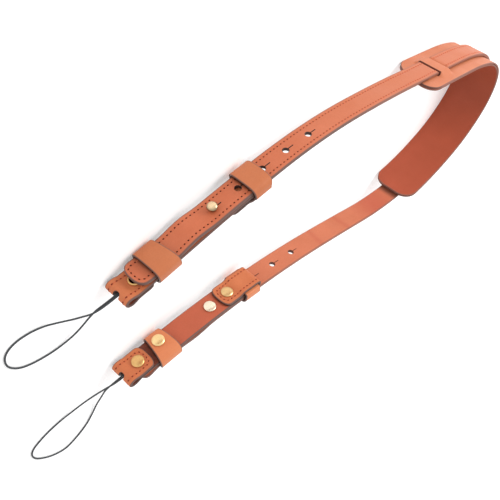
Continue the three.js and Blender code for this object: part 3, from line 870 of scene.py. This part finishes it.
def key_hole(at, sign, slit):
    """Button hole with a slit towards the sign, clockwise."""
    half = slit / 2
    opening = math.degrees(math.asin(half / HOLE_RADIUS))
    ring = arc((at, MIDDLE), HOLE_RADIUS, -opening, -360 + opening, HOLE_SIDES)
    far = at + HOLE_RADIUS + SLIT_LENGTH
    points = ring + [(far - half, MIDDLE + half), (far, MIDDLE), (far - half, MIDDLE - half)]
    if sign < 0:
        points = [(2 * at - along, across) for along, across in reversed(points)]
    return points


STITCH_INSET = 3.1
STITCH_PITCH = 3.05
STITCH_TIP = 2.6
GROOVE_DEPTH = 0.14
GROOVE_HALF = 0.5


def groove(from_edge):
    """Shallow furrow that the stitches lie in."""
    return GROOVE_DEPTH * math.exp(-(((from_edge - STITCH_INSET) / GROOVE_HALF) ** 2))


def strap_surface(along, across, lift):
    depth = STRAP_THICK / 2 + (PAD_THICK + GAP) * under_bridge(along, GAP) - stand_off(along) + lift
    if lift < 0:
        to_tip = min(end.distance(along) - end.tip for end in ENDS.values())
        sink = groove(min(across, STRAP_WIDTH - across)) if to_tip > STRAP_TIP_DEPTH else 0
        depth += sink * min(1, -2 * lift / STRAP_THICK)
    return place(along, depth, across)


# Painted shade across leg b, a broad band by the pad and two thin folds: station at the middle, slant per
# millimetre of rise, half length, strength
FOLD_SHADES = [
    (607, 0.1, 20, 0.62),
    (654.7, -0.07, 2.6, 0.35),
    (689.7, 0.16, 2.6, 0.35),
]

# Painted shadow at the keepers' front edges
KEEPER_SHADOW = 0.85
SHADOW_AHEAD = 1.5
SHADOW_FULL = 0.3
SHADOW_BEHIND = 5.0


def keeper_shadow(at, across, edges):
    """Painted shadow just ahead of a keeper's front edge and under it."""
    past = at - edges.front - edges.front_slant * (across - MIDDLE)
    fade = 1 - smoothstep(past, SHADOW_BEHIND, 2 * SHADOW_BEHIND)
    return KEEPER_SHADOW * smoothstep(past, -SHADOW_AHEAD, SHADOW_FULL) * fade


# Edge paint worn off the strap: station, share
EDGE_WEAR = [(180, 0), (260, 0.32), (580, 0.42), (740, 0.42), (790, 0.1)]
# Painted shadow of the pad's ends on the strap's inner face
PAD_SHADOW = 0.7
PAD_SHADOW_FULL = 2.0
PAD_SHADOW_REACH = 8.0


def strap_shade_and_wear(along, across, lift):
    """Painted fold shade on leg b, painted shadow by the keepers and the pad's ends, and rubbed edge
    paint.
    """
    fold_shade = 0.0
    for station, slant, half, strength in FOLD_SHADES:
        away = (along - station - slant * (across - MIDDLE)) / half
        fold_shade += strength * math.exp(-away * away)
    painted_shade = 0.0
    for end in ENDS.values():
        for edges in (end.tip_keeper, REAR_KEEPER):
            painted_shade = max(painted_shade, keeper_shadow(end.distance(along), across, edges))
    if lift > 0:
        from_pad = min(abs(along - PAD_FROM), abs(along - PAD_TO))
        fade = smoothstep(from_pad, PAD_SHADOW_FULL, PAD_SHADOW_REACH)
        painted_shade = max(painted_shade, PAD_SHADOW * (1 - fade))
    return min(fold_shade, 1.0), painted_shade, float(np.interp(along, *zip(*EDGE_WEAR)))


def band_columns():
    """Grid columns across the strap or a strip, close together at the stitches."""
    side = [STITCH_INSET + away for away in (-1.5, -GROOVE_HALF, 0, GROOVE_HALF)]
    middle = np.linspace(STITCH_INSET + 2, STRAP_WIDTH - STITCH_INSET - 2, 6)
    return side + list(middle) + [STRAP_WIDTH - across for across in reversed(side)]


def build_strap():
    low_tip, high_tip = (end.station(end.tip) for end in ENDS.values())
    outline = tip_points(high_tip, 1, STRAP_TIP_DEPTH) + tip_points(low_tip, -1, STRAP_TIP_DEPTH)[::-1]
    holes = []
    for end in ENDS.values():
        for i in range(HOLE_COUNT):
            station = end.station(HOLE_FIRST + i * HOLE_PITCH)
            holes.append(dense(key_hole(station, math.copysign(1, end.run), end.slit), CUT_STEP))
    rows = np.arange(low_tip + FIRST_ROW, high_tip - LAST_ROW, STRAP_STEP)
    strap = leather_sheet(
        "strap_band", dense(outline, STRAP_STEP), holes, strap_surface, STRAP_THICK, STRAP_ROUND, rows,
        band_columns(), strap_shade_and_wear,
    )
    finish_piece(strap, STRAP_LEATHER, "strap_leather", "main_strap")


# Stitches


def stitch_places(path):
    """Evenly spaced stitches along a path in (along, across): pairs of ends."""
    points = np.array(path)
    total = reach_along(points)[-1]
    count = max(1, round(total / STITCH_PITCH))
    stops = points_at(np.linspace(0, total, count + 1), points)
    return zip(stops, stops[1:])


THREAD_RADIUS = 0.26
THREAD_ARCH = ((0.1, -0.3), (0.24, -0.02), (0.5, 0.06), (0.76, -0.02), (0.9, -0.3))


def add_tube(vertices, faces, centres, ups, sides=6):
    """Thread with closed ends through the centres."""
    rings = []
    for i, (centre, up) in enumerate(zip(centres, ups)):
        ahead = centres[min(i + 1, len(centres) - 1)] - centres[max(i - 1, 0)]
        across = ahead.cross(up).normalized()
        rings.append(range(len(vertices), len(vertices) + sides))
        for k in range(sides):
            angle = 2 * math.pi * k / sides
            turn = across * math.cos(angle) + up * math.sin(angle)
            vertices.append(centre + turn * THREAD_RADIUS * MM)
    for low, high in zip(rings, rings[1:]):
        for k in range(sides):
            j = (k + 1) % sides
            faces.append((low[k], low[j], high[j], high[k]))
    faces.append(tuple(reversed(rings[0])))
    faces.append(tuple(rings[-1]))


MARK_HALF = 0.54
MARK_STRETCH = 1.7
MARK_SIDES = 10
MARK_RINGS = ((1.0, -0.06), (0.75, 0.05), (0.0, 0.07))


def add_stitches(path, surface, thick, threads, marks):
    """Threads that arch from hole to hole over a leather face, and painted shade in the holes they go
    into.
    """
    for start, stop in stitch_places(path):
        centres, ups = [], []
        for t, high in THREAD_ARCH:
            u, w = start + (stop - start) * t
            base = surface(u, w, -thick / 2)
            up = (surface(u, w, -thick / 2 - 1) - base).normalized()
            centres.append(base + up * high * MM)
            ups.append(up)
        add_tube(*threads, centres, ups)
        run = stop - start
        add_mark(marks, start, run / np.linalg.norm(run), surface, thick)


def add_mark(marks, spot, run, surface, thick):
    """Low bead of painted shade that fills a stitch hole."""
    vertices, faces = marks
    first = len(vertices)
    second = first + MARK_SIDES
    side = np.array((-run[1], run[0]))
    for reach, high in MARK_RINGS:
        for k in range(MARK_SIDES if reach else 1):
            angle = 2 * math.pi * k / MARK_SIDES
            turn = run * math.cos(angle) * MARK_STRETCH + side * math.sin(angle)
            u, w = spot + turn * MARK_HALF * reach
            vertices.append(surface(u, w, -thick / 2 - high))
    for k in range(MARK_SIDES):
        j = (k + 1) % MARK_SIDES
        faces.append((first + k, first + j, second + j, second + k))
        faces.append((second + k, second + j, second + MARK_SIDES))
    faces.append(tuple(reversed(range(first, second))))


def stitched(name, rows, hole_shade_material):
    """The threads and the painted shade of the stitch holes of some rows: each row is (path, surface,
    thick).
    """
    threads, marks = ([], []), ([], [])
    for path, surface, thick in rows:
        add_stitches(path, surface, thick, threads, marks)
    finish_piece(mesh_object(f"{name}_thread", *threads), THREAD, "strap_leather")
    finish_piece(mesh_object(f"{name}_stitch_holes", *marks), hole_shade_material, "strap_leather")


STRAP_ROW_DEPTH = 2.6
STRAP_ROW_POWER = 3.0
FLAP_ROW_DEPTH = 3.6


def tip_row(end, sign, depth, power=TIP_POWER):
    """Row of stitches round a leather end: squarer on the strap, rounder on the flaps."""
    return tip_points(end - sign * STITCH_TIP, sign, depth, STITCH_INSET, power)


def build_strap_stitches():
    low_tip, high_tip = (end.station(end.tip) for end in ENDS.values())
    ring = tip_row(high_tip, 1, STRAP_ROW_DEPTH, STRAP_ROW_POWER)
    ring += tip_row(low_tip, -1, STRAP_ROW_DEPTH, STRAP_ROW_POWER)[::-1]
    stitched("strap", [(ring + ring[:1], strap_surface, STRAP_THICK)], STITCH_HOLE_SHADE)


# Shoulder pad


def round_box(low, high, radius, steps=10):
    """Rectangle with rounded corners, counter-clockwise from its low side."""
    (u0, w0), (u1, w1) = low, high
    return (arc((u1 - radius, w0 + radius), radius, -90, 0, steps)
            + arc((u1 - radius, w1 - radius), radius, 0, 90, steps)
            + arc((u0 + radius, w1 - radius), radius, 90, 180, steps)
            + arc((u0 + radius, w0 + radius), radius, 180, 270, steps))


def pad_outline():
    """The pad's edge; its end at leg a is cut aslant."""
    points = round_box((PAD_FROM, PAD_LOW), (PAD_TO, PAD_HIGH), PAD_CORNER)
    middle = (PAD_FROM + PAD_TO) / 2
    return [(u + (PAD_SLANT * (w - MIDDLE) if u < middle else 0), w) for u, w in points]


def bridge_arch(across):
    outside = max(-BRIDGE_CLEAR / 2 - across, across - STRAP_WIDTH - BRIDGE_CLEAR / 2, 0)
    return 1 - smoothstep(outside, 0, BRIDGE_SLOPE)


def pad_surface(along, across, lift):
    raised = (STRAP_THICK + GAP) * under_bridge(along) * bridge_arch(across)
    return place(along, PAD_MID - raised + lift, across)


def lining_surface(along, across, lift):
    return place(along, LINING_MID + lift, across)


# Painted shade inside the hairpin, where it bends most
BEND_SHADE = 0.16
BEND_AT = 425
BEND_HALF = 45


def lining_bend_shade(along, across, lift):
    """The lining gets painted shade where it bends most, inside the hairpin."""
    away = (along - BEND_AT) / BEND_HALF
    return 0.0, BEND_SHADE * math.exp(-away * away), 0.0


# Painted shade on the walls of the pad's slots
SLOT_WALL_SHADE = 0.35
# Painted shade on the outer layer's edge by the pad's ends
PAD_END_SHADE = 0.5
PAD_END_REACH = 14.0
EDGE_SHARE = 0.45
PAD_MARGIN = 2.0
PAD_COLUMNS = 19


def pad_edge_shade(along, across, lift):
    """The edge of the outer layer gets painted shade at the pad's ends."""
    if abs(lift) > EDGE_SHARE * PAD_THICK:
        return new_leather(along, across, lift)
    from_end = min(along - PAD_FROM, PAD_TO - along)
    fade = smoothstep(from_end, PAD_END_REACH / 2, PAD_END_REACH)
    return 0.0, PAD_END_SHADE * (1 - fade), 0.0


def build_pad():
    outline = dense(pad_outline(), PAD_RIM_STEP)
    slots = []
    for low, high in BRIDGES:
        for start in (low, high - BRIDGE_SLOT):
            corner = (start, -BRIDGE_CLEAR)
            far = (start + BRIDGE_SLOT, STRAP_WIDTH + BRIDGE_CLEAR)
            slots.append(dense(round_box(corner, far, SLOT_CORNER, 4), SLOT_STEP)[::-1])
    overhang = abs(PAD_SLANT) * PAD_WIDTH / 2
    rows = np.arange(PAD_FROM - overhang, PAD_TO - LAST_ROW, PAD_STEP)
    columns = np.linspace(PAD_LOW + PAD_MARGIN, PAD_HIGH - PAD_MARGIN, PAD_COLUMNS)
    outer = leather_sheet(
        "pad_face", outline, slots, pad_surface, PAD_THICK, PAD_ROUND, rows, columns, pad_edge_shade, SLOT_WALL_SHADE
    )
    finish_piece(outer, PAD_LEATHER, "strap_leather", "pad_outer")
    lining = leather_sheet(
        "pad_back", outline, [], lining_surface, LINING_THICK, LINING_ROUND, rows, columns, lining_bend_shade
    )
    finish_piece(lining, LINING_LEATHER, "lining_leather", "pad_lining")


# End strips


STRIP_STEPS = 8
TAB_STEPS = 5 * STRIP_STEPS


def strip_surface(end):
    """Surface of one end strip: along runs from the tab flap's end to the rear flap's end."""
    rows = [(at, depth) for _, at, depth in STRIP_ROUTE] + [(end.flap_end, STRIP_ROUTE[-1][2])]
    route = smooth_route(rows, STRIP_STEPS)
    reach = reach_along(route)
    run = np.gradient(route, axis=0)
    run /= np.linalg.norm(run, axis=1)[:, None]

    def surface(along, across, lift):
        columns = (route[:, 0], route[:, 1], run[:, 0], run[:, 1])
        at, depth, run_at, run_depth = (np.interp(along, reach, column) for column in columns)
        size = math.hypot(run_at, run_depth)
        at -= lift * run_depth / size
        depth += lift * run_at / size
        return place(end.station(float(at)), float(depth), across)

    return surface, reach, route


# Painted shade in the tab and up to the keeper, and painted shadow at the rear flap's end
TAB_SHADE = 0.55
TAB_SHADE_FADE = 27.0
TAB_SHADE_TO = 33.0
FLAP_SHADOW = 0.6
FLAP_SHADOW_AHEAD = 1.2
TAB_ROW_END = 22.0


def strip_shade(end, reach, route, crest):
    """Wearer's side: painted shade in the tab's fold, up to and under the keeper, and at the rear flap's
    end.
    """

    def shade_and_wear(along, across, lift):
        if lift <= 0:
            return new_leather(along, across, lift)
        at = float(np.interp(along, reach, route[:, 0]))
        painted_shade = TAB_SHADE * (1 - smoothstep(at, TAB_SHADE_FADE, TAB_SHADE_TO))
        if along > crest:
            painted_shade = max(painted_shade, keeper_shadow(at, across, end.tip_keeper))
            past = at - end.flap_end - FLAP_DEPTH * shyness((across - MIDDLE) / MIDDLE)
            painted_shade = max(painted_shade, FLAP_SHADOW * smoothstep(past, -FLAP_SHADOW_AHEAD, SHADOW_FULL))
        return 0.0, painted_shade, 0.0

    return shade_and_wear


def build_strip(tag):
    surface, reach, route = strip_surface(ENDS[tag])
    total = float(reach[-1])
    crest_row = int(np.argmin(route[:, 0]))
    crest = float(reach[crest_row])
    outline = tip_points(total, 1, FLAP_DEPTH) + tip_points(0.0, -1, FLAP_DEPTH)[::-1]
    flap_side = float(np.interp(-NOTCH_REACH, -route[:crest_row, 0], reach[:crest_row]))
    outer_rows = slice(crest_row, crest_row + TAB_STEPS)
    strap_side = float(np.interp(NOTCH_REACH, route[outer_rows, 0], reach[outer_rows]))
    notch = dense(round_box((flap_side, NOTCH_LOW), (strap_side, NOTCH_HIGH), NOTCH_CORNER, 5), CUT_STEP)
    rows = np.arange(FIRST_ROW, total - LAST_ROW, STRIP_STEP)
    shade_and_wear = strip_shade(ENDS[tag], reach, route, crest)
    strip = leather_sheet(
        f"strip_{tag}", dense(outline, STRIP_STEP), [notch[::-1]], surface, STRIP_THICK, STRIP_ROUND,
        rows, band_columns(), shade_and_wear,
    )
    finish_piece(strip, STRIP_LEATHER, "strap_leather", f"end_strip_{tag}")
    hidden_from = crest + TAB_ROW_END
    flap_from = float(reach[np.argmax(route[:, 0])])
    high = STRAP_WIDTH - STITCH_INSET
    stitch_rows = []
    for start, end, sign in ((hidden_from, 0.0, -1), (flap_from, total, 1)):
        row = [(start, STITCH_INSET)] + tip_row(end, sign, FLAP_ROW_DEPTH) + [(start, high)]
        stitch_rows.append((row, surface, STRIP_THICK))
    stitched(f"strip_{tag}", stitch_rows, SOFT_HOLE_SHADE)


# Keepers


CONTOUR_POINTS = 132
CONTOUR_FINE = 2400


def keeper_contour(half, centre, outer, inner):
    """Evenly spaced points of a rounded box round the strap, domed on the outer side: across, depth."""
    points = []
    for angle in np.linspace(0, 2 * math.pi, CONTOUR_FINE, endpoint=False):
        sine, cosine = math.sin(angle), math.cos(angle)
        reach, power = inner if sine > 0 else outer
        across = MIDDLE + half * math.copysign(abs(cosine) ** (2 / power), cosine)
        depth = centre + reach * math.copysign(abs(sine) ** (2 / power), sine)
        points.append((across, depth))
    points = np.array(points + points[:1])
    marks = np.linspace(0, reach_along(points)[-1], CONTOUR_POINTS, endpoint=False)
    return points_at(marks, points)


def band_section(low, high, thick, radius, faces=6):
    """Section of a leather band: along, lift, paint; round at both edges."""
    edge = edge_profile(thick, radius)
    count = len(edge) // 2
    outer = [(low + inset, lift, paint) for inset, lift, paint in reversed(edge[:count])]
    middle = np.linspace(outer[-1][0], low + high - outer[-1][0], faces)[1:-1]
    mirrored = [(low + high - along, lift, paint) for along, lift, paint in reversed(outer)]
    top = outer + [(along, -thick / 2, 0.0) for along in middle] + mirrored
    return top + [(along, -lift, paint) for along, lift, paint in reversed(top)]


def build_keeper(tag, name, edges, bulge, half, centre, outer, inner):
    end = ENDS[tag]
    edges = edges or end.tip_keeper

    def point(at, depth, rise):
        share = (at - edges.front) / (edges.rear - edges.front)
        slant = lerp(edges.front_slant, edges.rear_slant, share)
        outward = max(0, (centre - depth) / outer[0])
        moved = at + slant * (rise - MIDDLE) + lerp(-bulge[0], bulge[1], share) * outward
        return place(end.station(moved), depth, rise)

    section = band_section(edges.front, edges.rear, KEEPER_WALL, KEEPER_ROUND)
    contour = keeper_contour(half, centre, outer, inner)
    ring = leather_ring(f"{name}_band_{tag}", contour, section, point)
    finish_piece(ring, KEEPER_LEATHERS[tag], "keeper_leather", f"{name}_{tag}")


# Metal


# Rounded ring about a sunk middle of painted shade, the outer head of the tab's rivet: radius, height,
# darkness
RING_HEAD = [
    (0, 0.3, 1), (2.7, 0.3, 1), (2.9, 0.5, 1), (3.05, 0.88, 0), (3.3, 1, 0), (3.7, 0.96, 0),
    (4.08, 0.65, 0), (4.2, 0.3, 0), (4.2, 0, 0),
]

# Domes of a rivet's cap and of a stud's back: radius, depth under the top
RIVET_DOME = [(3.9, 0.75), (3.55, 0.5), (3.3, 0.46), (2.6, 0.26), (1.7, 0.1), (0.8, 0.02), (0, 0)]
STUD_DOME = [(3.4, 0.28), (2.2, 0.1), (1.0, 0.02), (0, 0)]


def build_rivet(tag, name, at, rise, under, far, ring):
    at = at or ENDS[tag].keeper_rivet
    under += GAP
    top = under + RIVET_HEIGHT
    head = RING_HEAD if ring else [(0, 0, 0)]
    profile = [(radius, far - height) for radius, height, _ in head]
    profile += [(RIVET_SHANK, far), (RIVET_SHANK, under), (RIVET_SEAT, under)]
    profile += arc((RIVET_CAP - RIVET_ROUND, under + RIVET_ROUND), RIVET_ROUND, -60, 60, 5)
    profile += [(radius, top - low) for radius, low in RIVET_DOME]
    dark = [darkness for _, _, darkness in head]
    rivet = turned(f"{name}_cap_{tag}", profile, ENDS[tag].station(at), rise, dark)
    finish_piece(rivet, RIVET_GOLDS[name], "gold_metal", f"{name}_{tag}")


# Painted shade over a stud's head, deepest at its rim
STUD_SHADE = 0.1
STUD_RIM_SHADE = 0.55
STUD_RIM_FROM = 0.55


def build_stud(tag):
    under = STRAP_THICK + STRIP_THICK + 2 * GAP
    top = under + STUD_BACK_HEIGHT
    centre = -STUD_HEAD_HALF - GAP
    neck_angle = math.degrees(math.asin(STUD_NECK / STUD_HEAD))
    half_round = arc((0, 0), 1, -90, 90 - neck_angle, 24)
    head = [(r * STUD_HEAD, centre + d * STUD_HEAD_HALF) for r, d in half_round]
    head[0] = (0, head[0][1])
    dark = []
    for radius, _ in head:
        rim = smoothstep(radius / STUD_HEAD, STUD_RIM_FROM, 1)
        dark.append(STUD_SHADE + STUD_RIM_SHADE * rim)
    back = [(STUD_NECK, under), (STUD_SEAT, under)]
    back += arc((STUD_BACK - STUD_ROUND, under + STUD_ROUND), STUD_ROUND, -60, 70, 5)
    back += [(radius, top - low) for radius, low in STUD_DOME]
    stud = turned(f"stud_button_{tag}", head + back, ENDS[tag].station(HOLE_FIRST), MIDDLE, dark)
    finish_piece(stud, STUD_GOLD, "gold_metal", f"stud_{tag}")
    stud.data.materials.append(STUD_BACK_GOLD)
    for face in stud.data.polygons[TURNED_SIDES * len(head):]:
        face.material_index = 1


# Stage


FLOOR_REACH = 8.0
FLOOR_LOOK = {
    "Base Color": (0.9, 0.9, 0.9, 1),
    "Roughness": 0.9,
    "Specular IOR Level": 0.1,
    "Emission Color": (1, 1, 1, 1),
    "Emission Strength": 0.16,
}


def add_floor():
    floor = bpy.data.meshes.new("floor")
    corners = [(-1, -1), (1, -1), (1, 1), (-1, 1)]
    floor.from_pydata([(x * FLOOR_REACH, y * FLOOR_REACH, 0) for x, y in corners], [], [(0, 1, 2, 3)])
    material, _, shader = new_material("white floor")
    for name, value in FLOOR_LOOK.items():
        shader.inputs[name].default_value = value
    floor.materials.append(material)
    add_object("floor", floor)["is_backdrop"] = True


KEY_PLACE = Vector((-0.55, -0.55, 0.55))
KEY_TARGET = Vector((-0.05, 0, 0))


def add_lights():
    world = bpy.data.worlds.new("white studio")
    world.use_nodes = True
    back = world.node_tree.nodes["Background"]
    back.inputs["Color"].default_value = (1, 1, 1, 1)
    back.inputs["Strength"].default_value = 1.06
    bpy.context.scene.world = world
    bpy.context.scene.view_settings.view_transform = "Standard"
    data = bpy.data.lights.new("key", "AREA")
    data.size = 0.5
    data.energy = 5
    lamp = add_object("key", data)
    lamp.location = KEY_PLACE
    lamp.rotation_euler = (KEY_TARGET - KEY_PLACE).to_track_quat("-Z", "Y").to_euler()


add_camera()
for end_tag in ENDS:
    build_cord(end_tag)
build_strap()
build_strap_stitches()
build_pad()
for end_tag in ENDS:
    build_strip(end_tag)
    for keeper in KEEPERS:
        build_keeper(end_tag, *keeper)
    for rivet_row in RIVETS:
        build_rivet(end_tag, *rivet_row)
    build_stud(end_tag)
add_floor()
add_lights()

VISUAL_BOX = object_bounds()
boxes = {"cad": CAD_BOX, "visual": VISUAL_BOX}
{key: [list(map(float, corner)) for corner in box] for key, box in boxes.items()}
